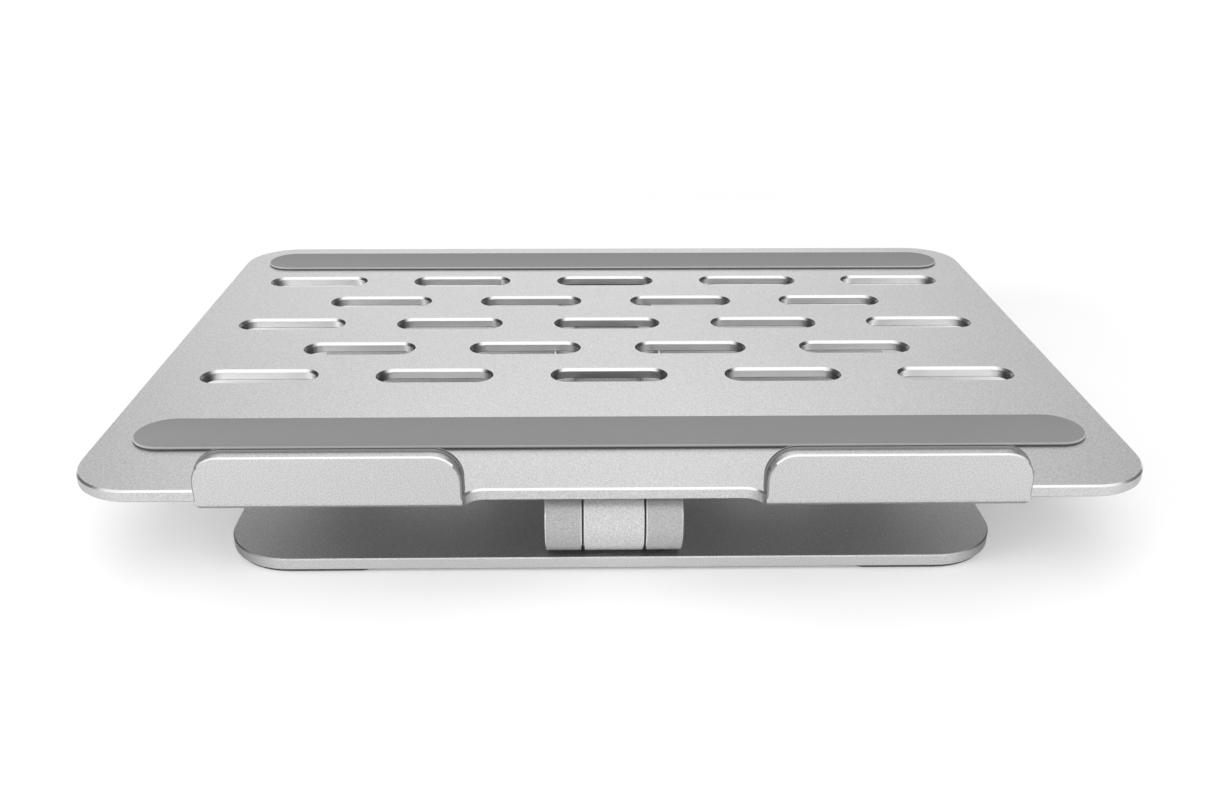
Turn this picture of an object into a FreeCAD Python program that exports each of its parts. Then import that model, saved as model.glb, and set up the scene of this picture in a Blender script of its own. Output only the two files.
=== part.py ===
import FreeCAD, Part
import math
import os

# Folding laptop stand, stored flat: a base plate, a supporting arm and a ventilated tray.
# +X is to the right, +Y is to the rear and +Z is up, in millimetres.
# The origin is under the middle of the stand, on the surface that its feet rest on.

# Heights of the folded stand, from the desk up
foot_thickness = 1.0
base_thickness = 3.2
gap_between_plates = 19.4
tray_thickness = 3.2
base_top = foot_thickness + base_thickness
tray_bottom = base_top + gap_between_plates
tray_top = tray_bottom + tray_thickness

# Tray
tray_width = 280.0
tray_depth = 203.5
tray_corner_radius = 17.7
tray_top_bevel = 0.5
tray_bottom_bevel = 0.25

# Ventilation slots: rows run from the front to the rear, longer and shorter rows by turns
slots_in_rows = (5, 4, 5, 4, 5)
slot_length = 34.34
slot_width = 9.08
slot_bevel = 0.8
slot_pitch = 53.46
slot_row_pitch = 22.43
rear_slot_row_from_front = 162.3

# Lips: two tabs bent up from the front edge of the tray, which stop a laptop from sliding off.
# The inner side of each runs into the tray in a wide curve, the outer side in a tight one.
lip_length = 66.0
lip_from_middle = 70.7
lip_reach = 5.0
lip_rise = 11.7
lip_corner_radius = 7.2
lip_bend_radius = 2.5
lip_bevel = 0.4
lip_rear_bevel = 0.3
lip_outer_root_radius = 1.0
lip_outer_cut_width = 1.5
lip_outer_cut_height = 1.8

# Rubber on the tray
strip_length = 261.3
strip_width = 18.4
strip_thickness = 0.95
strip_bevel = 0.2
front_strip_from_front = 31.5
rear_strip_from_front = 185.1
lip_pad_thickness = 1.2
lip_pad_above_lip = 0.6
lip_pad_side_overhang = 0.4

# Base
base_width = 207.0
base_depth = 186.0
base_behind_tray_front = 3.8
base_corner_radius = 18.5
base_bevel = 0.3
foot_length = 40.0
foot_inset = 0.8
foot_inner_radius = 4.0

# Hinges: the middle knuckle belongs to a bracket and the outer knuckles to the arm
hinge_height = base_top + gap_between_plates / 2.0
lower_hinge_from_front = 9.5
upper_hinge_from_front = 185.1
knuckle_radius = 9.3
knuckle_bevel = 0.25
middle_knuckle_width = 15.52
knuckle_gap = 0.54
hinge_width = 35.5
pin_radius = 4.0
pin_running_clearance = 0.03
bush_radius = 5.5
washer_thickness = 0.5
washer_radius = 8.3
pocket_radius = 6.5
pocket_web = 3.0
slip = 0.02

# Hinge pin, nut, disc springs and caps
pin_head_radius = 6.2
pin_head_height = 3.8
pin_key_size = 5.0
pin_key_depth = 2.2
pin_end_radius = 3.0
nut_across_flats = 10.0
nut_height = 3.2
disc_spring_radius = 6.2
disc_spring_hole_radius = 3.1
disc_spring_thickness = 0.6
disc_spring_height = 0.9
cap_thickness = 1.2
cap_recess = 0.2

# Arm: an open channel between two forks
arm_half_thickness = 6.0
arm_floor = 3.5
arm_recess_width = 21.0
arm_recess_radius = 4.0
arm_fork_depth = 11.0
arm_bridge = 9.0
arm_bevel = 0.6

# Bracket of the lower hinge and its screws
lower_block_behind_axis = 1.5
bracket_flange_width = 34.0
bracket_flange_start = 10.2
bracket_flange_length = 26.0
bracket_flange_thickness = 3.0
bracket_flange_corner_radius = 3.0
bracket_flange_bevel = 0.4
base_screw_radius = 2.0
base_screw_head_radius = 4.0
base_screw_spacing_x = 20.0
base_screw_spacing_y = 15.0
base_screw_key = 2.5

# Bracket of the upper hinge and its screws
upper_block_half_depth = 8.5
tray_screw_radius = 1.5
tray_screw_head_radius = 3.0
tray_screw_spacing_x = 8.8
tray_screw_spacing_y = 11.6
tray_screw_grip = 5.0
tray_screw_key = 2.0
screw_clearance = 0.1
screw_key_depth = 1.1
screw_head_recess = 0.05
base_screw_end_recess = 0.2
tray_screw_hole_extra = 0.3

# How far a cutting shape runs past the face that it opens
cut_over = 1.0

# Places that follow from the dimensions above
front_edge = lip_reach - (tray_depth + lip_reach) / 2.0
rear_edge = front_edge + tray_depth
base_front = front_edge + base_behind_tray_front
base_rear = base_front + base_depth
lower_axis = front_edge + lower_hinge_from_front
upper_axis = front_edge + upper_hinge_from_front
middle_face = middle_knuckle_width / 2.0
outer_knuckle_start = middle_face + knuckle_gap
outer_knuckle_end = hinge_width / 2.0
pocket_floor = outer_knuckle_start + pocket_web

os.makedirs("parts", exist_ok=True)


def vector(x, y, z):
    return FreeCAD.Vector(x, y, z)


def export(node, *solids):
    """Write one node, made of one solid or of a group of separate solids."""
    shape = solids[0] if len(solids) == 1 else Part.makeCompound(list(solids))
    shape.exportStep("parts/" + node + ".step")
    print(node, len(shape.Solids), round(shape.Volume / 1000.0, 3), "cm3", shape.isValid())


def line(start, end):
    return Part.LineSegment(start, end).toShape()


def arc(start, middle, end):
    return Part.Arc(start, middle, end).toShape()


def quarter(centre, radius, first_angle, turn, z):
    """A quarter circle in a level plane, from first_angle through turn, in degrees."""
    points = []
    for share in (0.0, 0.5, 1.0):
        angle = math.radians(first_angle + share * turn)
        x = centre[0] + radius * math.cos(angle)
        y = centre[1] + radius * math.sin(angle)
        points.append(vector(x, y, z))
    return arc(*points)


def joined(edges):
    """Close a loop of edges whose corners leave straight gaps between them."""
    loop = []
    for edge, following in zip(edges, edges[1:] + edges[:1]):
        loop.append(edge)
        end = edge.Vertexes[-1].Point
        start = following.Vertexes[0].Point
        if end.distanceToPoint(start) > 1e-6:
            loop.append(line(end, start))
    return Part.Wire(loop)


def rounded_rectangle(x_low, x_high, y_low, y_high, radii, z, inset=0.0):
    """A level outline; radii go round from the corner at x_low, y_low, anticlockwise."""
    corners = ((x_low, y_low, 1, 1, 180), (x_high, y_low, -1, 1, 270),
               (x_high, y_high, -1, -1, 0), (x_low, y_high, 1, -1, 90))
    edges = []
    for (x, y, inward_x, inward_y, angle), radius in zip(corners, radii):
        centre = (x + inward_x * radius, y + inward_y * radius)
        edges.append(quarter(centre, radius - inset, angle, 90, z))
    return joined(edges)


def stadium(x, y, length, radius, z):
    """A level slot outline with full-round ends, centred on x, y."""
    left = x - length / 2.0 + radius
    right = x + length / 2.0 - radius
    left_end = arc(vector(left, y + radius, z), vector(left - radius, y, z), vector(left, y - radius, z))
    right_end = arc(vector(right, y - radius, z), vector(right + radius, y, z), vector(right, y + radius, z))
    return joined([left_end, right_end])


def ruled_solid(wires):
    return Part.makeLoft(wires, True, True)


def box(x_low, x_high, y_low, y_high, z_low, z_high):
    return Part.makeBox(x_high - x_low, y_high - y_low, z_high - z_low, vector(x_low, y_low, z_low))


def cylinder_z(x, y, z_low, z_high, radius):
    return Part.makeCylinder(radius, z_high - z_low, vector(x, y, z_low))


def turned(profile, axis_y):
    """A solid of revolution about a hinge axis; profile is a closed list of (x, radius)."""
    points = [vector(x, axis_y, hinge_height + radius) for x, radius in profile]
    face = Part.Face(Part.makePolygon(points + points[:1]))
    return face.revolve(vector(0, axis_y, hinge_height), vector(1, 0, 0), 360)


def bevelled_roller(x_low, x_high, radius, bevel, axis_y):
    profile = [(x_low, 0), (x_low, radius - bevel), (x_low + bevel, radius),
               (x_high - bevel, radius), (x_high, radius - bevel), (x_high, 0)]
    return turned(profile, axis_y)


def roller(x_low, x_high, radius, axis_y):
    return Part.makeCylinder(radius, x_high - x_low, vector(x_low, axis_y, hinge_height), vector(1, 0, 0))


def hexagon_prism(start, direction, across_flats, height):
    """A hexagonal prism from start along direction, with its flats across_flats apart."""
    corner_radius = across_flats / math.sqrt(3.0)
    points = []
    for step in range(6):
        angle = math.radians(60 * step)
        points.append(vector(corner_radius * math.cos(angle), corner_radius * math.sin(angle), 0))
    prism = Part.Face(Part.makePolygon(points + points[:1])).extrude(vector(0, 0, height))
    turn = FreeCAD.Rotation(vector(0, 0, 1), direction)
    prism.Placement = FreeCAD.Placement(start, turn)
    return prism


def mirrored(shape):
    return shape.mirror(vector(0, 0, 0), vector(1, 0, 0))


# ---------------------------------------------------------------- tray


def tray_outline(z, inset):
    """The tray seen from above, with the roots of both lips and their inside corners."""
    half_width = tray_width / 2.0
    radius = tray_corner_radius
    lip_front = front_edge - lip_reach
    inner = lip_from_middle - lip_length / 2.0
    outer = lip_from_middle + lip_length / 2.0
    tight = lip_outer_root_radius
    root_y = front_edge - tight
    edges = [quarter((-half_width + radius, front_edge + radius), radius - inset, 180, 90, z),
             quarter((-outer - tight, root_y), tight + inset, 90, -90, z),
             line(vector(-outer + inset, root_y, z), vector(-outer + inset, lip_front, z)),
             quarter((-inner + lip_reach, lip_front), lip_reach + inset, 180, -90, z),
             quarter((inner - lip_reach, lip_front), lip_reach + inset, 90, -90, z),
             line(vector(outer - inset, lip_front, z), vector(outer - inset, root_y, z)),
             quarter((outer + tight, root_y), tight + inset, 180, -90, z)]
    edges.append(quarter((half_width - radius, front_edge + radius), radius - inset, 270, 90, z))
    edges.append(quarter((half_width - radius, rear_edge - radius), radius - inset, 0, 90, z))
    edges.append(quarter((-half_width + radius, rear_edge - radius), radius - inset, 90, 90, z))
    return joined(edges)


def upright_outline(middle, y, low, high, half_length, radius, inset):
    """An upright outline in an X-Z plane: square below, rounded above."""
    left = middle - half_length + inset
    right = middle + half_length - inset
    top = high - inset
    bend = radius - inset
    diagonal = bend * (1.0 - math.sqrt(0.5))
    right_side = vector(right, y, top - bend)
    right_corner = vector(right - diagonal, y, top - diagonal)
    left_side = vector(left, y, top - bend)
    left_corner = vector(left + diagonal, y, top - diagonal)
    edges = [
        line(vector(left, y, low), vector(right, y, low)),
        line(vector(right, y, low), right_side),
        arc(right_side, right_corner, vector(right - bend, y, top)),
        line(vector(right - bend, y, top), vector(left + bend, y, top)),
        arc(vector(left + bend, y, top), left_corner, left_side),
        line(left_side, vector(left, y, low)),
    ]
    return Part.Wire(edges)


def lip(middle):
    """One upright tab, with its front and rear outlines bevelled."""
    front = front_edge - lip_reach
    rear = front + tray_thickness
    sections = ((front, lip_bevel), (front + lip_bevel, 0.0),
                (rear - lip_rear_bevel, 0.0), (rear, lip_rear_bevel))
    wires = []
    for y, inset in sections:
        wires.append(upright_outline(middle, y, tray_bottom, tray_top + lip_rise,
                                     lip_length / 2.0, lip_corner_radius, inset))
    return ruled_solid(wires)


def lip_bend_waste(side):
    """What the bend's round and the outer corner's cut take off one lip; side is -1 at the left."""
    front = front_edge - lip_reach
    middle = side * lip_from_middle
    reach = lip_length / 2.0 + lip_reach
    corner = box(middle - reach, middle + reach, front - cut_over, front + lip_bend_radius,
                 tray_bottom - cut_over, tray_bottom + lip_bend_radius)
    bend_middle = vector(middle - reach, front + lip_bend_radius, tray_bottom + lip_bend_radius)
    round_bar = Part.makeCylinder(lip_bend_radius, 2 * reach, bend_middle, vector(1, 0, 0))
    edge = middle + side * lip_length / 2.0
    far_x = edge + side * lip_outer_cut_width
    low_z = tray_bottom - lip_outer_cut_height
    points = [vector(far_x, front - cut_over, tray_bottom + 2 * lip_outer_cut_height),
              vector(far_x, front - cut_over, low_z),
              vector(edge - 2 * side * lip_outer_cut_width, front - cut_over, low_z)]
    wedge = Part.Face(Part.makePolygon(points + points[:1]))
    return [corner.cut(round_bar), wedge.extrude(vector(0, cut_over + lip_reach, 0))]


def slot_centres():
    """Centres of all ventilation slots, as (x, y)."""
    rows = len(slots_in_rows)
    centres = []
    for row, count in enumerate(slots_in_rows):
        y = front_edge + rear_slot_row_from_front - (rows - 1 - row) * slot_row_pitch
        for number in range(count):
            centres.append(((number - (count - 1) / 2.0) * slot_pitch, y))
    return centres


def slot_cutter(x, y):
    """A slot with a wide bevel at the top face and a small one underneath."""
    radius = slot_width / 2.0
    levels = ((tray_bottom - cut_over, tray_bottom_bevel + cut_over), (tray_bottom + tray_bottom_bevel, 0.0),
              (tray_top - slot_bevel, 0.0), (tray_top + cut_over, slot_bevel + cut_over))
    wires = []
    for z, widening in levels:
        wires.append(stadium(x, y, slot_length + 2 * widening, radius + widening, z))
    return ruled_solid(wires)


def countersunk_hole(x, y, z_head, z_end, radius, head_radius):
    """A cutter for a countersunk screw whose head lies at z_head and whose hole runs to z_end."""
    down = -1 if z_end < z_head else 1
    depth = head_radius - radius
    cone = Part.makeCone(head_radius, radius, depth, vector(x, y, z_head), vector(0, 0, down))
    hole = Part.makeCylinder(radius, abs(z_end - z_head), vector(x, y, z_head), vector(0, 0, down))
    return cone.fuse(hole)


def screw(x, y, z_head, z_end, radius, head_radius, key):
    """A countersunk screw with a hexagonal key socket in its head."""
    down = -1 if z_end < z_head else 1
    body = countersunk_hole(x, y, z_head, z_end, radius, head_radius)
    socket = hexagon_prism(vector(x, y, z_head - down * cut_over), vector(0, 0, down), key,
                           screw_key_depth + cut_over)
    return body.cut(socket)


def four_places(middle_y, spacing_x, spacing_y):
    places = []
    for side_x in (-1, 1):
        for side_y in (-1, 1):
            places.append((side_x * spacing_x / 2.0, middle_y + side_y * spacing_y / 2.0))
    return places


tray_screw_places = four_places(upper_axis, tray_screw_spacing_x, tray_screw_spacing_y)


def top_plate():
    levels = ((tray_bottom, tray_bottom_bevel), (tray_bottom + tray_bottom_bevel, 0.0),
              (tray_top - tray_top_bevel, 0.0), (tray_top, tray_top_bevel))
    plate = ruled_solid([tray_outline(z, inset) for z, inset in levels])
    lips = [lip(-lip_from_middle), lip(lip_from_middle)]
    plate = plate.fuse(lips)
    waste = lip_bend_waste(-1) + lip_bend_waste(1)
    waste += [slot_cutter(x, y) for x, y in slot_centres()]
    for x, y in tray_screw_places:
        waste.append(countersunk_hole(x, y, tray_top, tray_bottom - cut_over,
                                      tray_screw_radius + screw_clearance,
                                      tray_screw_head_radius + screw_clearance))
    return plate.cut(waste).removeSplitter()


def rubber_strip(from_front):
    """A flat strip with full-round ends and a softened top edge."""
    y = front_edge + from_front
    radius = strip_width / 2.0
    levels = ((tray_top, 0.0), (tray_top + strip_thickness - strip_bevel, 0.0),
              (tray_top + strip_thickness, strip_bevel))
    wires = []
    for z, inset in levels:
        wires.append(stadium(0.0, y, strip_length - 2 * inset, radius - inset, z))
    return ruled_solid(wires)


def lip_pad(middle):
    """The pad on the inside of one lip, which stands a little above it."""
    face = front_edge - lip_reach + tray_thickness
    half = lip_length / 2.0 + lip_pad_side_overhang
    top = tray_top + lip_rise + lip_pad_above_lip
    radius = lip_corner_radius + lip_pad_above_lip
    sections = ((face, 0.0), (face + lip_pad_thickness - strip_bevel, 0.0),
                (face + lip_pad_thickness, strip_bevel))
    return ruled_solid([upright_outline(middle, y, tray_top, top, half, radius, inset)
                        for y, inset in sections])


# ---------------------------------------------------------------- base

base_screw_middle = lower_axis + bracket_flange_start + bracket_flange_length / 2.0
base_screw_places = four_places(base_screw_middle, base_screw_spacing_x, base_screw_spacing_y)


def base_outline(z, inset):
    half_width = base_width / 2.0
    return rounded_rectangle(-half_width, half_width, base_front, base_rear,
                             (base_corner_radius,) * 4, z, inset)


def base_plate():
    levels = ((foot_thickness, base_bevel), (foot_thickness + base_bevel, 0.0),
              (base_top - base_bevel, 0.0), (base_top, base_bevel))
    plate = ruled_solid([base_outline(z, inset) for z, inset in levels])
    waste = []
    for x, y in base_screw_places:
        waste.append(countersunk_hole(x, y, foot_thickness, base_top + cut_over,
                                      base_screw_radius + screw_clearance,
                                      base_screw_head_radius + screw_clearance))
    return plate.cut(waste)


def foot(side_x, side_y):
    """One pad under a corner of the base; side_x is -1 at the left, side_y is -1 at the front."""
    outer_x = side_x * (base_width / 2.0 - foot_inset)
    outer_y = base_front + foot_inset if side_y < 0 else base_rear - foot_inset
    inner_x = outer_x - side_x * foot_length
    inner_y = outer_y - side_y * foot_length
    x_low, x_high = sorted((outer_x, inner_x))
    y_low, y_high = sorted((outer_y, inner_y))
    radii = []
    for corner_x, corner_y in ((x_low, y_low), (x_high, y_low), (x_high, y_high), (x_low, y_high)):
        at_corner = corner_x == outer_x and corner_y == outer_y
        radii.append(base_corner_radius - foot_inset if at_corner else foot_inner_radius)
    wires = [rounded_rectangle(x_low, x_high, y_low, y_high, radii, z, inset)
             for z, inset in ((0.0, strip_bevel), (strip_bevel, 0.0), (foot_thickness, 0.0))]
    return ruled_solid(wires)


# ---------------------------------------------------------------- hinges


def lower_bracket():
    """The middle knuckle of the lower hinge, on a flange behind it that is screwed to the base."""
    knuckle = bevelled_roller(-middle_face, middle_face, knuckle_radius, knuckle_bevel, lower_axis)
    block_front = lower_axis + lower_block_behind_axis
    block = box(-middle_face, middle_face, block_front, lower_axis + knuckle_radius, base_top, hinge_height)
    foot_bar = box(-middle_face, middle_face, block_front, lower_axis + bracket_flange_start + cut_over,
                   base_top, base_top + bracket_flange_thickness)
    half = bracket_flange_width / 2.0
    start = lower_axis + bracket_flange_start
    flange_top = base_top + bracket_flange_thickness
    radii = (bracket_flange_corner_radius,) * 4
    wires = [rounded_rectangle(-half, half, start, start + bracket_flange_length, radii, z, inset)
             for z, inset in ((base_top, 0.0), (flange_top - bracket_flange_bevel, 0.0),
                              (flange_top, bracket_flange_bevel))]
    body = knuckle.fuse([block, foot_bar, ruled_solid(wires)])
    waste = [roller(-middle_face - cut_over, middle_face + cut_over, bush_radius, lower_axis)]
    for x, y in base_screw_places:
        waste.append(cylinder_z(x, y, base_top - cut_over, flange_top + cut_over, base_screw_radius + slip))
    return body.cut(waste).removeSplitter()


def upper_bracket():
    """The middle knuckle of the upper hinge, on a block that is screwed to the tray."""
    knuckle = bevelled_roller(-middle_face, middle_face, knuckle_radius, knuckle_bevel, upper_axis)
    block = box(-middle_face, middle_face, upper_axis - upper_block_half_depth,
                upper_axis + upper_block_half_depth, hinge_height, tray_bottom)
    waste = [roller(-middle_face - cut_over, middle_face + cut_over, bush_radius, upper_axis)]
    hole_end = tray_bottom - tray_screw_grip - tray_screw_hole_extra
    for x, y in tray_screw_places:
        waste.append(cylinder_z(x, y, hole_end, tray_bottom + cut_over, tray_screw_radius + slip))
    return knuckle.fuse(block).cut(waste).removeSplitter()


def bush(axis_y):
    sleeve = roller(-middle_face, middle_face, bush_radius - slip, axis_y)
    bore_radius = pin_radius + pin_running_clearance
    return sleeve.cut(roller(-middle_face - cut_over, middle_face + cut_over, bore_radius, axis_y))


def hinge_pin(axis_y):
    """A headed pin across both outer knuckles, with a thinner threaded end at the right."""
    end = pocket_floor + 2 * disc_spring_height + nut_height
    profile = [(-pocket_floor - pin_head_height, 0),
               (-pocket_floor - pin_head_height, pin_head_radius - knuckle_bevel),
               (-pocket_floor - pin_head_height + knuckle_bevel, pin_head_radius),
               (-pocket_floor, pin_head_radius), (-pocket_floor, pin_radius), (pocket_floor, pin_radius),
               (pocket_floor, pin_end_radius), (end, pin_end_radius), (end, 0)]
    socket_start = -pocket_floor - pin_head_height - cut_over
    socket = hexagon_prism(vector(socket_start, axis_y, hinge_height), vector(1, 0, 0),
                           pin_key_size, pin_key_depth + cut_over)
    return turned(profile, axis_y).cut(socket)


def nut(axis_y):
    start = pocket_floor + 2 * disc_spring_height
    body = hexagon_prism(vector(start, axis_y, hinge_height), vector(1, 0, 0), nut_across_flats, nut_height)
    return body.cut(roller(start - cut_over, start + nut_height + cut_over, pin_end_radius + slip, axis_y))


def disc_springs(axis_y):
    """Two coned washers set rim to rim, which press the knuckles together."""
    discs = []
    rise = disc_spring_height - disc_spring_thickness
    for narrow_end, direction in ((pocket_floor, 1), (pocket_floor + 2 * disc_spring_height, -1)):
        profile = [(narrow_end, disc_spring_hole_radius),
                   (narrow_end + direction * rise, disc_spring_radius),
                   (narrow_end + direction * disc_spring_height, disc_spring_radius),
                   (narrow_end + direction * disc_spring_thickness, disc_spring_hole_radius)]
        discs.append(turned(profile, axis_y))
    return discs


def friction_washer(axis_y):
    middle = middle_face + knuckle_gap / 2.0
    x_low = middle - washer_thickness / 2.0
    x_high = middle + washer_thickness / 2.0
    disc = roller(x_low, x_high, washer_radius, axis_y)
    return disc.cut(roller(x_low - cut_over, x_high + cut_over, pin_radius + screw_clearance, axis_y))


def hinge_cap(axis_y):
    outer = outer_knuckle_end - cap_recess
    return bevelled_roller(outer - cap_thickness, outer, pocket_radius - slip, knuckle_bevel, axis_y)


def outer_knuckle(axis_y):
    knuckle = bevelled_roller(outer_knuckle_start, outer_knuckle_end, knuckle_radius, knuckle_bevel, axis_y)
    waste = [roller(outer_knuckle_start - cut_over, pocket_floor + cut_over, pin_radius + slip, axis_y),
             roller(pocket_floor, outer_knuckle_end + cut_over, pocket_radius, axis_y)]
    return knuckle, waste


def support_arm():
    """A channel between both hinges: two side rails, a floor, and a fork at each end."""
    half = hinge_width / 2.0
    low = hinge_height - arm_half_thickness
    high = hinge_height + arm_half_thickness
    section = [(-half, low + arm_bevel), (-half + arm_bevel, low),
               (half - arm_bevel, low), (half, low + arm_bevel),
               (half, high - arm_bevel), (half - arm_bevel, high),
               (-half + arm_bevel, high), (-half, high - arm_bevel)]
    points = [vector(x, lower_axis, z) for x, z in section]
    bar = Part.Face(Part.makePolygon(points + points[:1])).extrude(vector(0, upper_axis - lower_axis, 0))
    recess_half = arm_recess_width / 2.0
    recess_low = lower_axis + arm_fork_depth + arm_bridge
    recess_high = upper_axis - arm_fork_depth - arm_bridge
    levels = ((low + arm_floor, 0.0), (high - arm_bevel, 0.0), (high + cut_over, -arm_bevel - cut_over))
    recess = ruled_solid([rounded_rectangle(-recess_half, recess_half, recess_low, recess_high,
                                            (arm_recess_radius,) * 4, z, inset) for z, inset in levels])
    solids = []
    waste = [recess]
    for axis_y, inward in ((lower_axis, 1), (upper_axis, -1)):
        gap_end = axis_y - inward * (knuckle_radius + cut_over)
        gap_low, gap_high = sorted((gap_end, axis_y + inward * arm_fork_depth))
        waste.append(box(-outer_knuckle_start, outer_knuckle_start, gap_low, gap_high,
                         hinge_height - knuckle_radius - cut_over, hinge_height + knuckle_radius + cut_over))
        knuckle, bores = outer_knuckle(axis_y)
        solids += [knuckle, mirrored(knuckle)]
        waste += bores + [mirrored(bore) for bore in bores]
    return bar.fuse(solids).cut(waste).removeSplitter()


# ---------------------------------------------------------------- parts

export("base_plate", base_plate())
for row_name, side_y in (("front", -1), ("rear", 1)):
    for side_name, side_x in (("left", -1), ("right", 1)):
        export("base_foot_" + row_name + "_" + side_name, foot(side_x, side_y))

export("lower_hinge_bracket", lower_bracket())
export("upper_hinge_bracket", upper_bracket())
base_screw_head = foot_thickness + screw_head_recess
base_screw_end = base_top + bracket_flange_thickness - base_screw_end_recess
export("lower_bracket_screws", *[screw(x, y, base_screw_head, base_screw_end, base_screw_radius,
                                       base_screw_head_radius, base_screw_key) for x, y in base_screw_places])
tray_screw_head = tray_top - screw_head_recess
tray_screw_end = tray_bottom - tray_screw_grip
export("upper_bracket_screws", *[screw(x, y, tray_screw_head, tray_screw_end, tray_screw_radius,
                                       tray_screw_head_radius, tray_screw_key) for x, y in tray_screw_places])

export("support_arm", support_arm())
for hinge_name, axis_y in (("lower", lower_axis), ("upper", upper_axis)):
    export(hinge_name + "_hinge_bush", bush(axis_y))
    export(hinge_name + "_hinge_pin", hinge_pin(axis_y))
    export(hinge_name + "_pin_nut", nut(axis_y))
    export(hinge_name + "_disc_springs", *disc_springs(axis_y))
    export(hinge_name + "_friction_washer_right", friction_washer(axis_y))
    export(hinge_name + "_friction_washer_left", mirrored(friction_washer(axis_y)))
    export(hinge_name + "_hinge_cap_right", hinge_cap(axis_y))
    export(hinge_name + "_hinge_cap_left", mirrored(hinge_cap(axis_y)))

export("top_plate", top_plate())
export("front_rubber_strip", rubber_strip(front_strip_from_front))
export("rear_rubber_strip", rubber_strip(rear_strip_from_front))
export("left_lip_pad", lip_pad(-lip_from_middle))
export("right_lip_pad", lip_pad(lip_from_middle))
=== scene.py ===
# Folding laptop stand of sandblasted aluminium: its finishes, the studio and the camera.
import math

import bmesh
import bpy
from mathutils import Matrix, Vector


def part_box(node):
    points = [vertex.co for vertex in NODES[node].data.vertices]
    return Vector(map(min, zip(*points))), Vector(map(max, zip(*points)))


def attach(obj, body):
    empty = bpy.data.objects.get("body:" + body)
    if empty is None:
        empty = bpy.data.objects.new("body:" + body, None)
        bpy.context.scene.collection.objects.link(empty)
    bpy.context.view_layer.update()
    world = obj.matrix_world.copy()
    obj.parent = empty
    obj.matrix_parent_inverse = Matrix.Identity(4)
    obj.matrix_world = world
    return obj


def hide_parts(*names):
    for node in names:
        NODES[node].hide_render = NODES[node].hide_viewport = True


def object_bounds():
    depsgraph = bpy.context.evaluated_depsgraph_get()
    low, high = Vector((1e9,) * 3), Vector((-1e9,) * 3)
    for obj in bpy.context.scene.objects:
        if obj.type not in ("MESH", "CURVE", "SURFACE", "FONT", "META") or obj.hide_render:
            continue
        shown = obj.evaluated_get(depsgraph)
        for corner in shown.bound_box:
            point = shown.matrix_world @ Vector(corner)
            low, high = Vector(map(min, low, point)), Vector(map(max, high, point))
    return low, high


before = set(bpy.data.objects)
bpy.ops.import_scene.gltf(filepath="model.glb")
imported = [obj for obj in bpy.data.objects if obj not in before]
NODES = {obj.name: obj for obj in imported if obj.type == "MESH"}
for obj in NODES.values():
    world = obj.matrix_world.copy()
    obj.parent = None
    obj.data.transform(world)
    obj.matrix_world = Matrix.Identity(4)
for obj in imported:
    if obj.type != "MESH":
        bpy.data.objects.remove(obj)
cad_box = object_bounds()

# ---------------------------------------------------------------------------------------------
# Driving values, in metres and degrees
# ---------------------------------------------------------------------------------------------
CAMERA_PLACE = (-0.006501, -0.359502, 0.169417)
CAMERA_PITCH = 24.645          # below the horizon
CAMERA_YAW = -1.01
CAMERA_ROLL = 0.156
CAMERA_LENS = 34.963           # millimetres
CAMERA_SENSOR = 36.0           # millimetres
CAMERA_CLIP = (0.01, 50.0)

FLOOR_REACH = 12.0             # half the side of the floor
FLOOR_TONE = 0.85
FLOOR_GLOW = 0.06              # beside the stand
FAR_GLOW = 0.45                # where the floor runs out into the white background
GLOW_RISE = (0.3, 0.9)         # distances from the middle between which one turns into the other
FLOOR_ROUGHNESS = 0.6
FLOOR_GLOSS = 0.2

# Brightness of the studio in reflections
DARK_LEVEL = 0.12
TOP_PANEL = 1.1
FRONT_PANEL = 1.08
SIDE_PANELS = 0.65
REAR_PANEL = (                 # from the far left to the far right
    (-0.54, 0.2), (-0.37, 0.98), (-0.16, 1.34), (0.12, 1.32), (0.35, 0.88), (0.52, 0.25),
)
# Where each panel begins and where it is full, as parts of a direction of length 1
REAR_ALONG = (0.3, 0.6)
REAR_UP = (0.1, 0.26)
TOP_UP = (0.5, 0.68)
TOP_ASIDE = (0.62, 0.42)
FRONT_ALONG = (0.0, -0.22)
SIDE_ASIDE = (0.92, 0.97)
SIDE_UP = (0.1, 0.22)

OVERHEAD_PLACE = (0.0, -0.55, 1.35)
OVERHEAD_SIZE = (1.6, 1.2)
OVERHEAD_POWER = 0.48
LEFT_PLACE = (-0.8, -0.25, 0.2)
RIGHT_PLACE = (0.8, -0.25, 0.2)
LOW_LIGHT_SIZE = (0.5, 0.4)    # low lights at the sides, which only matt surfaces see
LEFT_POWER = 7.0
RIGHT_POWER = 4.8

# Textures: how many grains, lines or patches to the metre
GRAIN = 3300.0                 # sandblasted sheet
LEVEL_GRAIN = 2900.0           # its broad level faces
CLOUDS = 9.0
TOOL_LINES = 700.0
RUBBED_PLACES = 60.0
RUBBER_GRAIN = 2600.0
DUST = 35.0
TURNED_LINES = 2500.0
PATCHES = 220.0
PLASTIC_GRAIN = 3200.0
MOTTLE = 30.0
# how much they are stretched, where they run in lines
TOOL_LINE_STRETCH = (0.15, 1.0, 6.0)
TURNED_LINE_STRETCH = (1.0, 0.12, 0.12)
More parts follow.
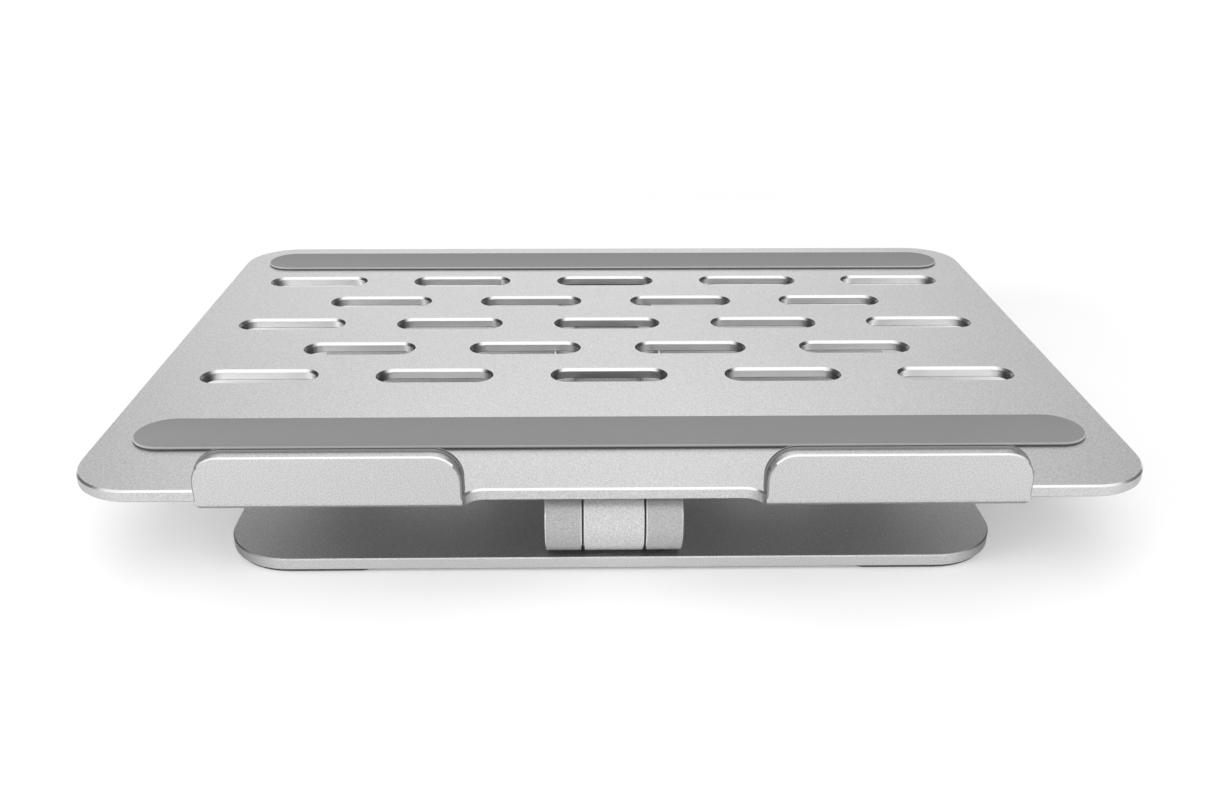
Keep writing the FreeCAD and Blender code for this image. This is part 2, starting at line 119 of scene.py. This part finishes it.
# and how deep they are
GRAIN_DEPTH = 0.00003
TOOL_LINE_DEPTH = 0.000002
RUBBER_GRAIN_DEPTH = 0.00003
TURNED_LINE_DEPTH = 0.00001
PLASTIC_GRAIN_DEPTH = 0.00002
TEXTURE_LOW = 0.3              # nearly all of a noise lies between these two
TEXTURE_HIGH = 0.7
CLOUD_SHARE = 0.05             # what broad clouds add to the grain of the sheet
DUST_SHARE = 0.15              # and what dust adds to the grain of the rubber

RUBBER_ROUND = 0.00035         # radius of the moulded rubber edges
RUBBER_GLOSS = 0.35
ROUND_STEPS = 4
CORNER_STEPS = 12
PAD_CORNER = 0.0078            # upper corners of the lip pads
FOOT_OUTER_CORNER = 0.0177
FOOT_INNER_CORNER = 0.004
SQUARE_CORNER = 0.0006
SMOOTH_TURN = 35.0             # degrees; sharper edges stay sharp
WELD_DISTANCE = 0.000001
TAPE_AND_SHADE_BAND = 0.0004        # adhesive tape under the strips, dark at its edge, which also paints the shade along the strips' foot
PAD_PAINTED_SHADE_BAND = 0.0006    # a dark band between the lips and their pads, drawn as tape: painted shade where pad meets lip

TRAY_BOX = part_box("top_plate")
ARM_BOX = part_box("support_arm")
KNUCKLE_DIAMETER = ARM_BOX[1].z - ARM_BOX[0].z
TRAY_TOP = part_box("front_rubber_strip")[0].z
LIP_FRONT = TRAY_BOX[0].y
LIP_REAR = LIP_FRONT + 0.0034  # just behind the rear faces of the lips
HALF_MILLIMETRE = 0.0005
SLOT_AREA_MARGIN = 0.008       # from the box of the tray to where its slots may lie

# Parts of a face's normal, of length 1, that tell the faces of the sheets apart
CHAMFER_LEAN = (0.45, 0.92)
LIP_CHAMFER_LEAN = (0.5, 0.92)
LIP_FRONT_CHAMFER_RISE = 0.35
LIP_REAR_CHAMFER_RISE = 0.4
LIP_SIDE_TURN = 0.35
LIP_SIDE_RISE = 0.45
WALL_RISE = 0.6
SLOT_WALL_RISE = 0.2

# Painted shade: how far a normal leans along X where a finish begins to darken, where it is darkest, and the
# part of its tone that is left there
WALL_SIDE_SHADE = (0.15, 0.75, 0.74)
BASE_WALL_SIDE_SHADE = (0.2, 0.8, 0.48)
BASE_CHAMFER_SIDE_SHADE = (0.08, 0.5, 0.28)
SLOT_END_CHAMFER_SHADE = (0.2, 0.5, 0.36)
SLOT_END_WALL_SHADE = (0.4, 0.8, 0.35)


# ---------------------------------------------------------------------------------------------
# Shader nodes, for the materials and the studio
# ---------------------------------------------------------------------------------------------
def math_node(tree, operation, *values):
    """Each value is a number or the output of another node."""
    node = tree.nodes.new("ShaderNodeMath")
    node.operation = operation
    for socket, value in zip(node.inputs, values):
        if isinstance(value, (int, float)):
            socket.default_value = value
        else:
            tree.links.new(value, socket)
    return node.outputs["Value"]


def range_node(tree, source, start, end, low, high, interpolation="LINEAR"):
    """Runs from the low value where the source is at its start to the high value at its end."""
    node = tree.nodes.new("ShaderNodeMapRange")
    node.interpolation_type = interpolation
    for socket, value in zip(("From Min", "From Max", "To Min", "To Max"), (start, end, low, high)):
        node.inputs[socket].default_value = value
    tree.links.new(source, node.inputs["Value"])
    return node.outputs["Result"]


def ramp_node(tree, source, stops):
    """Each stop is a position from 0 to 1 and a colour."""
    node = tree.nodes.new("ShaderNodeValToRGB")
    elements = node.color_ramp.elements
    while len(elements) < len(stops):
        elements.new(0.5)
    for element, (position, colour) in zip(elements, stops):
        element.position = position
        element.color = (*colour, 1.0)
    tree.links.new(source, node.inputs["Fac"])
    return node.outputs["Color"]


class Recipe:
    """A material with a Principled shader, and short ways to add its nodes."""

    def __init__(self, name):
        self.material = bpy.data.materials.new(name)
        self.material.use_nodes = True
        self.tree = self.material.node_tree
        self.shader = self.tree.nodes["Principled BSDF"]
        coordinates = self.tree.nodes.new("ShaderNodeTexCoord").outputs
        self.place, self.normal = coordinates["Object"], coordinates["Normal"]

    def set(self, **values):
        for socket, value in values.items():
            self.shader.inputs[socket.replace("_", " ")].default_value = value

    def link(self, source, target):
        self.tree.links.new(source, target)

    def noise(self, scale, detail=2.0, roughness=0.5, stretch=None):
        node = self.tree.nodes.new("ShaderNodeTexNoise")
        node.inputs["Scale"].default_value = scale
        node.inputs["Detail"].default_value = detail
        node.inputs["Roughness"].default_value = roughness
        source = self.place
        if stretch:
            mapping = self.tree.nodes.new("ShaderNodeMapping")
            mapping.inputs["Scale"].default_value = stretch
            self.link(self.place, mapping.inputs["Vector"])
            source = mapping.outputs["Vector"]
        self.link(source, node.inputs["Vector"])
        return node.outputs["Fac"]

    def between(self, source, low, high, start=0.0, end=1.0):
        return range_node(self.tree, source, start, end, low, high)

    def math(self, operation, *values):
        return math_node(self.tree, operation, *values)

    def ramp(self, source, *stops):
        return ramp_node(self.tree, source, stops)

    def vary_roughness(self, source, middle, below, above):
        self.link(self.between(source, middle - below, middle + above), self.shader.inputs["Roughness"])

    def paint_side_shade(self, colour, side_shade):
        """Painted shade: the colour, darker where the surface turns towards the left or the right."""
        if not side_shade:
            return colour
        start, end, least = side_shade
        split = self.tree.nodes.new("ShaderNodeSeparateXYZ")
        self.link(self.normal, split.inputs["Vector"])
        turn = self.math("ABSOLUTE", split.outputs["X"])
        scale = self.tree.nodes.new("ShaderNodeVectorMath")
        scale.operation = "SCALE"
        self.link(colour, scale.inputs["Vector"])
        self.link(self.between(turn, 1.0, least, start, end), scale.inputs["Scale"])
        return scale.outputs["Vector"]

    def bump(self, height, distance, strength):
        node = self.tree.nodes.new("ShaderNodeBump")
        node.inputs["Distance"].default_value = distance
        node.inputs["Strength"].default_value = strength
        self.link(height, node.inputs["Height"])
        self.link(node.outputs["Normal"], self.shader.inputs["Normal"])


def shade(tone, tint=(1.0, 1.0, 1.0), by=1.0):
    return tuple(tone * channel * by for channel in tint)


def blasted(name, tone, roughness=0.43, speckle=0.33, grain=GRAIN, relief=0.3, side_shade=None):
    """Fine sandblasted and anodised aluminium: grains in colour, gloss and relief."""
    recipe = Recipe(name)
    grains = recipe.noise(grain, 3.0, 0.7)
    cloud = recipe.noise(CLOUDS)
    mixed = recipe.math("ADD", grains, recipe.between(cloud, -CLOUD_SHARE, CLOUD_SHARE))
    colour = recipe.ramp(mixed, (TEXTURE_LOW, shade(tone, by=1.0 - speckle)),
                         (TEXTURE_HIGH, shade(tone, by=1.0 + speckle)))
    recipe.link(recipe.paint_side_shade(colour, side_shade), recipe.shader.inputs["Base Color"])
    recipe.vary_roughness(grains, roughness, 0.05, 0.05)
    recipe.set(Metallic=1.0)
    recipe.bump(grains, GRAIN_DEPTH, relief)
    return recipe.material


def polished(name, tone, roughness=0.25, side_shade=None):
    """A bright chamfer cut after blasting, with fine tool lines and a few rubbed places."""
    recipe = Recipe(name)
    lines = recipe.noise(TOOL_LINES, 2.0, 0.6, stretch=TOOL_LINE_STRETCH)
    rubbed = recipe.noise(RUBBED_PLACES, 3.0, 0.6)
    colour = recipe.ramp(rubbed, (TEXTURE_LOW, shade(tone, by=0.93)), (TEXTURE_HIGH, shade(tone)))
    recipe.link(recipe.paint_side_shade(colour, side_shade), recipe.shader.inputs["Base Color"])
    recipe.vary_roughness(rubbed, roughness, 0.04, 0.06)
    recipe.set(Metallic=1.0)
    recipe.bump(lines, TOOL_LINE_DEPTH, 0.1)
    return recipe.material


def rubber(name, tone, roughness=0.75):
    """Matt silicone rubber with a fine moulded texture and a little dust."""
    recipe = Recipe(name)
    texture = recipe.noise(RUBBER_GRAIN, 2.0, 0.6)
    dust = recipe.noise(DUST, 4.0, 0.6)
    mixed = recipe.math("ADD", texture, recipe.between(dust, -DUST_SHARE, DUST_SHARE))
    recipe.link(
        recipe.ramp(mixed, (TEXTURE_LOW, shade(tone, by=0.92)), (TEXTURE_HIGH, shade(tone, by=1.08))),
        recipe.shader.inputs["Base Color"],
    )
    recipe.vary_roughness(dust, roughness, 0.06, 0.06)
    recipe.set(Specular_IOR_Level=RUBBER_GLOSS)
    recipe.bump(texture, RUBBER_GRAIN_DEPTH, 0.5)
    return recipe.material


def turned_metal(name, colour, roughness=0.25):
    """Turned or rolled metal: fine rings of tool marks and darker patches."""
    recipe = Recipe(name)
    marks = recipe.noise(TURNED_LINES, 2.0, 0.6, stretch=TURNED_LINE_STRETCH)
    patches = recipe.noise(PATCHES, 4.0, 0.6)
    recipe.link(
        recipe.ramp(patches, (TEXTURE_LOW, shade(0.82, colour)), (TEXTURE_HIGH, colour)),
        recipe.shader.inputs["Base Color"],
    )
    recipe.vary_roughness(patches, roughness, 0.05, 0.12)
    recipe.set(Metallic=1.0)
    recipe.bump(marks, TURNED_LINE_DEPTH, 0.4)
    return recipe.material


def moulded(name, tone, roughness=0.5):
    """Moulded plastic with a fine spark-eroded texture."""
    recipe = Recipe(name)
    texture = recipe.noise(PLASTIC_GRAIN, 2.0, 0.6)
    recipe.link(
        recipe.ramp(texture, (TEXTURE_LOW, shade(tone, by=0.93)), (TEXTURE_HIGH, shade(tone, by=1.05))),
        recipe.shader.inputs["Base Color"],
    )
    recipe.vary_roughness(texture, roughness, 0.06, 0.06)
    recipe.bump(texture, PLASTIC_GRAIN_DEPTH, 0.4)
    return recipe.material


# ---------------------------------------------------------------------------------------------
# Finishes on the CAD nodes
# ---------------------------------------------------------------------------------------------
def finish_node(node, body, *others):
    """Gives a node its main finish, and further ones to the faces that each test picks out."""
    mesh = NODES[node].data
    mesh.materials.clear()
    mesh.materials.append(body)
    for number, (finish, picks) in enumerate(others, 1):
        mesh.materials.append(finish)
        for polygon in mesh.polygons:
            if picks(polygon):
                polygon.material_index = number


def within(value, limits):
    return limits[0] < value < limits[1]


def upright_face(polygon):
    return abs(polygon.normal.z) < WALL_RISE


def top_chamfer(polygon):
    return within(polygon.normal.z, CHAMFER_LEAN)


def lower_chamfer(polygon):
    return within(-polygon.normal.z, CHAMFER_LEAN) and polygon.center.z < TRAY_TOP


def plate_chamfer(polygon):
    """Upward chamfers of the tray and of its slots, and the front outline of the lips."""
    if top_chamfer(polygon) and polygon.center.z < TRAY_TOP + HALF_MILLIMETRE:
        return True
    on_lip_front = polygon.center.y < LIP_FRONT + HALF_MILLIMETRE
    rising = polygon.normal.z > LIP_FRONT_CHAMFER_RISE
    return on_lip_front and rising and within(-polygon.normal.y, LIP_CHAMFER_LEAN)


def lip_rear_chamfer(polygon):
    rising = polygon.normal.z > LIP_REAR_CHAMFER_RISE
    return rising and within(polygon.normal.y, LIP_CHAMFER_LEAN) and polygon.center.z > TRAY_TOP


def lip_face(polygon):
    return upright_face(polygon) and polygon.center.y < LIP_REAR


def lip_side(polygon):
    """The narrow faces round the two ends of each lip, with their chamfers."""
    sideways = abs(polygon.normal.x) > LIP_SIDE_TURN and polygon.normal.z < LIP_SIDE_RISE
    return sideways and polygon.center.z > TRAY_TOP and polygon.center.y < LIP_REAR


def in_slot_area(polygon):
    middle = polygon.center
    inside_x = abs(middle.x) < TRAY_BOX[1].x - SLOT_AREA_MARGIN
    return inside_x and TRAY_BOX[0].y + SLOT_AREA_MARGIN < middle.y < TRAY_BOX[1].y - SLOT_AREA_MARGIN


def slot_wall(polygon):
    return in_slot_area(polygon) and abs(polygon.normal.z) < SLOT_WALL_RISE


def slot_chamfer(polygon):
    return in_slot_area(polygon) and top_chamfer(polygon)


def knuckle_face(polygon):
    """Faces of the four outer hinge barrels, at both ends of the arm."""
    low, high = ARM_BOX[0].y + KNUCKLE_DIAMETER, ARM_BOX[1].y - KNUCKLE_DIAMETER
    return not low < polygon.center.y < high


def round_part_chamfer(polygon):
    """Chamfers at the ends of the hinge barrels, whose normals lean along X."""
    return within(abs(polygon.normal.x), CHAMFER_LEAN)


sheet_finish = blasted("blasted_aluminium", 0.60, speckle=0.3, grain=LEVEL_GRAIN, relief=0.22)
# Painted shade: finishes given a side shade darken as their faces turn left or right, at the tray's and
# base's corners and at the slot ends
upright_finish = blasted("blasted_aluminium_upright", 0.58, speckle=0.25, relief=0.15, side_shade=WALL_SIDE_SHADE)
lip_finish = blasted("blasted_aluminium_lip", 0.57, relief=0.45)
# Painted shade: a darker copy of the sheet finish, for the lip ends and the tray's lower chamfers where shade
# falls
painted_shade_finish = blasted("blasted_aluminium_painted_shade", 0.3)
base_finish = blasted("blasted_aluminium_base", 0.66, speckle=0.3, grain=LEVEL_GRAIN, relief=0.22)
base_wall_finish = blasted("blasted_aluminium_base_wall", 0.6, speckle=0.25, relief=0.15, side_shade=BASE_WALL_SIDE_SHADE)
base_edge_finish = blasted("blasted_aluminium_edge", 0.7, roughness=0.36, side_shade=BASE_CHAMFER_SIDE_SHADE)
arm_finish = blasted("blasted_aluminium_arm", 0.72)
knuckle_finish = blasted("blasted_aluminium_knuckle", 0.455)
bracket_finish = blasted("blasted_aluminium_bracket", 0.61)
cut_finish = polished("bright_cut_chamfer", 0.92)
slot_chamfer_finish = polished("bright_slot_chamfer", 0.92, side_shade=SLOT_END_CHAMFER_SHADE)
milled_finish = polished("milled_slot_wall", 0.95, roughness=0.36, side_shade=SLOT_END_WALL_SHADE)
strip_finish = rubber("grey_strip_rubber", 0.22)
# Painted highlight: a lighter rubber on the rounded top edges of the strips and pads, standing for light
# caught along the edge
painted_highlight_rubber_finish = rubber("grey_rubber_painted_edge_highlight", 0.31, roughness=0.55)
# Adhesive tape in part and painted shade in part: a near-black band at the foot of the strips and between the
# pads and the lips
tape_and_painted_shade_finish = rubber("dark_tape_and_painted_shade", 0.05, roughness=0.7)
foot_finish = rubber("dark_foot_rubber", 0.06, roughness=0.8)
steel_finish = turned_metal("zinc_plated_steel", (0.68, 0.69, 0.70))
bronze_finish = turned_metal("sintered_bronze", (0.62, 0.42, 0.22), roughness=0.4)
washer_finish = moulded("black_washer_plastic", 0.03)
cap_finish = moulded("grey_cap_plastic", 0.2)

finish_node(
    "top_plate", sheet_finish,
    (upright_finish, upright_face), (lip_finish, lip_face), (cut_finish, plate_chamfer),
    (cut_finish, lip_rear_chamfer), (milled_finish, slot_wall), (slot_chamfer_finish, slot_chamfer),
    (painted_shade_finish, lip_side), (painted_shade_finish, lower_chamfer),
)
finish_node("base_plate", base_finish, (base_wall_finish, upright_face), (base_edge_finish, top_chamfer))
finish_node("support_arm", arm_finish, (knuckle_finish, knuckle_face), (cut_finish, round_part_chamfer))
for hinge in ("lower", "upper"):
    finish_node(f"{hinge}_hinge_bracket", bracket_finish, (cut_finish, round_part_chamfer))
    finish_node(f"{hinge}_hinge_pin", steel_finish)
    finish_node(f"{hinge}_pin_nut", steel_finish)
    finish_node(f"{hinge}_disc_springs", steel_finish)
    finish_node(f"{hinge}_bracket_screws", steel_finish)
    finish_node(f"{hinge}_hinge_bush", bronze_finish)
    for side in ("left", "right"):
        finish_node(f"{hinge}_friction_washer_{side}", washer_finish)
        finish_node(f"{hinge}_hinge_cap_{side}", cap_finish)


# ---------------------------------------------------------------------------------------------
# Rubber pieces, which stand for the plain CAD ones
# ---------------------------------------------------------------------------------------------
def outline(low, high, radii, inset):
    """A closed line round a rectangle; radii go round from the corner at low, anticlockwise."""
    corners = ((low[0], low[1], 1, 1, 180), (high[0], low[1], -1, 1, 270),
               (high[0], high[1], -1, -1, 0), (low[0], high[1], 1, -1, 90))
    points = []
    for (x, y, inward_x, inward_y, start), radius in zip(corners, radii):
        for step in range(CORNER_STEPS + 1):
            angle = math.radians(start + 90.0 * step / CORNER_STEPS)
            reach = radius - inset
            points.append((x + inward_x * radius + reach * math.cos(angle),
                           y + inward_y * radius + reach * math.sin(angle)))
    return points


def rounded_levels(bottom, top, round_low, round_high):
    """Heights with insets, for a body whose lower and upper edges may be rounded."""
    levels = []
    turns = [math.radians(90.0 * step / ROUND_STEPS) for step in range(ROUND_STEPS + 1)]
    if round_low:
        levels += [(bottom + RUBBER_ROUND * (1.0 - math.sin(turn)), RUBBER_ROUND * (1.0 - math.cos(turn)))
                   for turn in reversed(turns)]
    else:
        levels.append((bottom, 0.0))
    if round_high:
        levels += [(top - RUBBER_ROUND * (1.0 - math.sin(turn)), RUBBER_ROUND * (1.0 - math.cos(turn)))
                   for turn in turns]
    else:
        levels.append((top, 0.0))
    return levels


def moulded_piece(name, node, low, high, radii, levels, stand, materials):
    """A lofted rubber body; stand turns an outline point and a height into a place.

    A second material goes to the faces between the first two levels, and a third to the
    rounded edge at the end."""
    mesh = bpy.data.meshes.new(name)
    shape = bmesh.new()
    rings = []
    for height, inset in levels:
        rings.append([shape.verts.new(stand(x, y, height)) for x, y in outline(low, high, radii, inset)])
    for number, (ring, following) in enumerate(zip(rings, rings[1:])):
        band = 0
        if len(materials) > 1 and number == 0:
            band = 1
        elif len(materials) > 2 and number >= len(rings) - 1 - ROUND_STEPS:
            band = 2
        turned_ring = ring[1:] + ring[:1]
        turned_following = following[1:] + following[:1]
        for here, there, far, near in zip(ring, turned_ring, turned_following, following):
            face = shape.faces.new((here, there, far, near))
            face.material_index = band
    shape.faces.new(rings[0][::-1])
    shape.faces.new(rings[-1])
    bmesh.ops.remove_doubles(shape, verts=shape.verts, dist=WELD_DISTANCE)
    bmesh.ops.recalc_face_normals(shape, faces=shape.faces)
    for face in shape.faces:
        face.smooth = True
    for edge in shape.edges:
        if len(edge.link_faces) == 2 and edge.calc_face_angle() > math.radians(SMOOTH_TURN):
            edge.smooth = False
    shape.to_mesh(mesh)
    shape.free()
    for material in materials:
        mesh.materials.append(material)
    piece = bpy.data.objects.new(name, mesh)
    bpy.context.scene.collection.objects.link(piece)
    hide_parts(node)
    return piece


def lying(x, y, height):
    return (x, y, height)


def upright(x, z, depth):
    return (x, depth, z)


for place in ("front", "rear"):
    low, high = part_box(f"{place}_rubber_strip")
    radius = (high.y - low.y) / 2.0
    levels = rounded_levels(low.z, high.z, False, True)
    levels.insert(1, (low.z + TAPE_AND_SHADE_BAND, 0.0))
    strip = moulded_piece(f"{place}_strip_moulding", f"{place}_rubber_strip", low.xy, high.xy, (radius,) * 4,
                          levels, lying, (strip_finish, tape_and_painted_shade_finish, painted_highlight_rubber_finish))
    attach(strip, "tray")

for side in ("left", "right"):
    low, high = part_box(f"{side}_lip_pad")
    radii = (SQUARE_CORNER, SQUARE_CORNER, PAD_CORNER, PAD_CORNER)
    levels = rounded_levels(low.y, high.y, False, True)
    levels.insert(1, (low.y + PAD_PAINTED_SHADE_BAND, 0.0))
    pad = moulded_piece(f"{side}_lip_pad_moulding", f"{side}_lip_pad", (low.x, low.z), (high.x, high.z),
                        radii, levels, upright, (strip_finish, tape_and_painted_shade_finish, painted_highlight_rubber_finish))
    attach(pad, "tray")

# Each foot, with the number of its own corner that lies at the corner of the base
FEET = (("front", "left", 0), ("front", "right", 1), ("rear", "left", 3), ("rear", "right", 2))
for place, side, outer in FEET:
    low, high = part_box(f"base_foot_{place}_{side}")
    radii = [FOOT_INNER_CORNER] * 4
    radii[outer] = FOOT_OUTER_CORNER
    levels = rounded_levels(low.z, high.z, True, False)
    foot = moulded_piece(f"foot_moulding_{place}_{side}", f"base_foot_{place}_{side}", low.xy, high.xy,
                         radii, levels, lying, (foot_finish,))
    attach(foot, "base")


# ---------------------------------------------------------------------------------------------
# Studio
# ---------------------------------------------------------------------------------------------
def make_floor():
    mesh = bpy.data.meshes.new("floor")
    reach, desk = FLOOR_REACH, cad_box[0][2]
    corners = ((-reach, -reach), (reach, -reach), (reach, reach), (-reach, reach))
    mesh.from_pydata([(x, y, desk) for x, y in corners], [], [(0, 1, 2, 3)])
    floor = bpy.data.objects.new("floor", mesh)
    bpy.context.scene.collection.objects.link(floor)
    recipe = Recipe("pale_floor")
    mottle = recipe.noise(MOTTLE, 3.0)
    recipe.link(
        recipe.ramp(mottle, (TEXTURE_LOW, shade(FLOOR_TONE, by=0.995)), (TEXTURE_HIGH, shade(FLOOR_TONE))),
        recipe.shader.inputs["Base Color"],
    )
    away = recipe.tree.nodes.new("ShaderNodeVectorMath")
    away.operation = "LENGTH"
    recipe.link(recipe.place, away.inputs[0])
    glow = recipe.between(away.outputs["Value"], FLOOR_GLOW, FAR_GLOW, *GLOW_RISE)
    recipe.link(glow, recipe.shader.inputs["Emission Strength"])
    recipe.set(Roughness=FLOOR_ROUGHNESS, Specular_IOR_Level=FLOOR_GLOSS, Emission_Color=(1.0, 1.0, 1.0, 1.0))
    mesh.materials.append(recipe.material)


def make_world():
    """White to the eye; in reflections, a studio with light panels and darker places between."""
    world = bpy.data.worlds.new("studio")
    bpy.context.scene.world = world
    world.use_nodes = True
    tree = world.node_tree

    def mask(source, limits, high=1.0):
        """0 at the first limit, rising smoothly to the high value at the second."""
        (start, low), (end, top) = sorted(zip(limits, (0.0, high)))
        return range_node(tree, source, start, end, low, top, "SMOOTHSTEP")

    split = tree.nodes.new("ShaderNodeSeparateXYZ")
    tree.links.new(tree.nodes.new("ShaderNodeTexCoord").outputs["Generated"], split.inputs["Vector"])
    across, along, up = split.outputs["X"], split.outputs["Y"], split.outputs["Z"]
    aside = math_node(tree, "ABSOLUTE", across)

    stops = [(0.5 * (1.0 + place), (tone, tone, tone)) for place, tone in REAR_PANEL]
    rear = ramp_node(tree, range_node(tree, across, -1.0, 1.0, 0.0, 1.0), stops)
    rear = math_node(tree, "MULTIPLY", rear, mask(along, REAR_ALONG))
    rear = math_node(tree, "MULTIPLY", rear, mask(up, REAR_UP))
    top = math_node(tree, "MULTIPLY", mask(up, TOP_UP, TOP_PANEL), mask(aside, TOP_ASIDE))
    front = mask(along, FRONT_ALONG, FRONT_PANEL)
    sides = math_node(tree, "MULTIPLY", mask(aside, SIDE_ASIDE, SIDE_PANELS), mask(up, SIDE_UP))
    studio = DARK_LEVEL
    for panel in (rear, top, front, sides):
        studio = math_node(tree, "MAXIMUM", panel, studio)
    seen = tree.nodes.new("ShaderNodeLightPath").outputs["Is Camera Ray"]
    background = tree.nodes["Background"].inputs
    tree.links.new(math_node(tree, "MAXIMUM", studio, seen), background["Color"])
    background["Strength"].default_value = 1.0


def softbox(name, place, size, power, glossy=True):
    """A soft rectangular light that points at the middle of the desk under the part."""
    light = bpy.data.lights.new(name, "AREA")
    light.shape = "RECTANGLE"
    light.size, light.size_y = size
    light.energy = power
    box = bpy.data.objects.new(name, light)
    bpy.context.scene.collection.objects.link(box)
    box.location = place
    box.rotation_euler = (-Vector(place)).to_track_quat("-Z", "Y").to_euler()
    box.visible_camera = False
    box.visible_glossy = glossy


def make_camera():
    data = bpy.data.cameras.new("camera")
    data.lens = CAMERA_LENS
    data.sensor_width = CAMERA_SENSOR
    data.clip_start, data.clip_end = CAMERA_CLIP
    camera = bpy.data.objects.new("camera", data)
    bpy.context.scene.collection.objects.link(camera)
    turn = (
        Matrix.Rotation(math.radians(CAMERA_YAW), 4, "Z")
        @ Matrix.Rotation(math.radians(90.0 - CAMERA_PITCH), 4, "X")
        @ Matrix.Rotation(math.radians(CAMERA_ROLL), 4, "Z")
    )
    camera.matrix_world = Matrix.Translation(CAMERA_PLACE) @ turn
    bpy.context.scene.camera = camera


make_floor()
make_world()
softbox("overhead", OVERHEAD_PLACE, OVERHEAD_SIZE, OVERHEAD_POWER)
softbox("left_low", LEFT_PLACE, LOW_LIGHT_SIZE, LEFT_POWER, glossy=False)
softbox("right_low", RIGHT_PLACE, LOW_LIGHT_SIZE, RIGHT_POWER, glossy=False)
make_camera()
bpy.context.scene.view_settings.view_transform = "Standard"
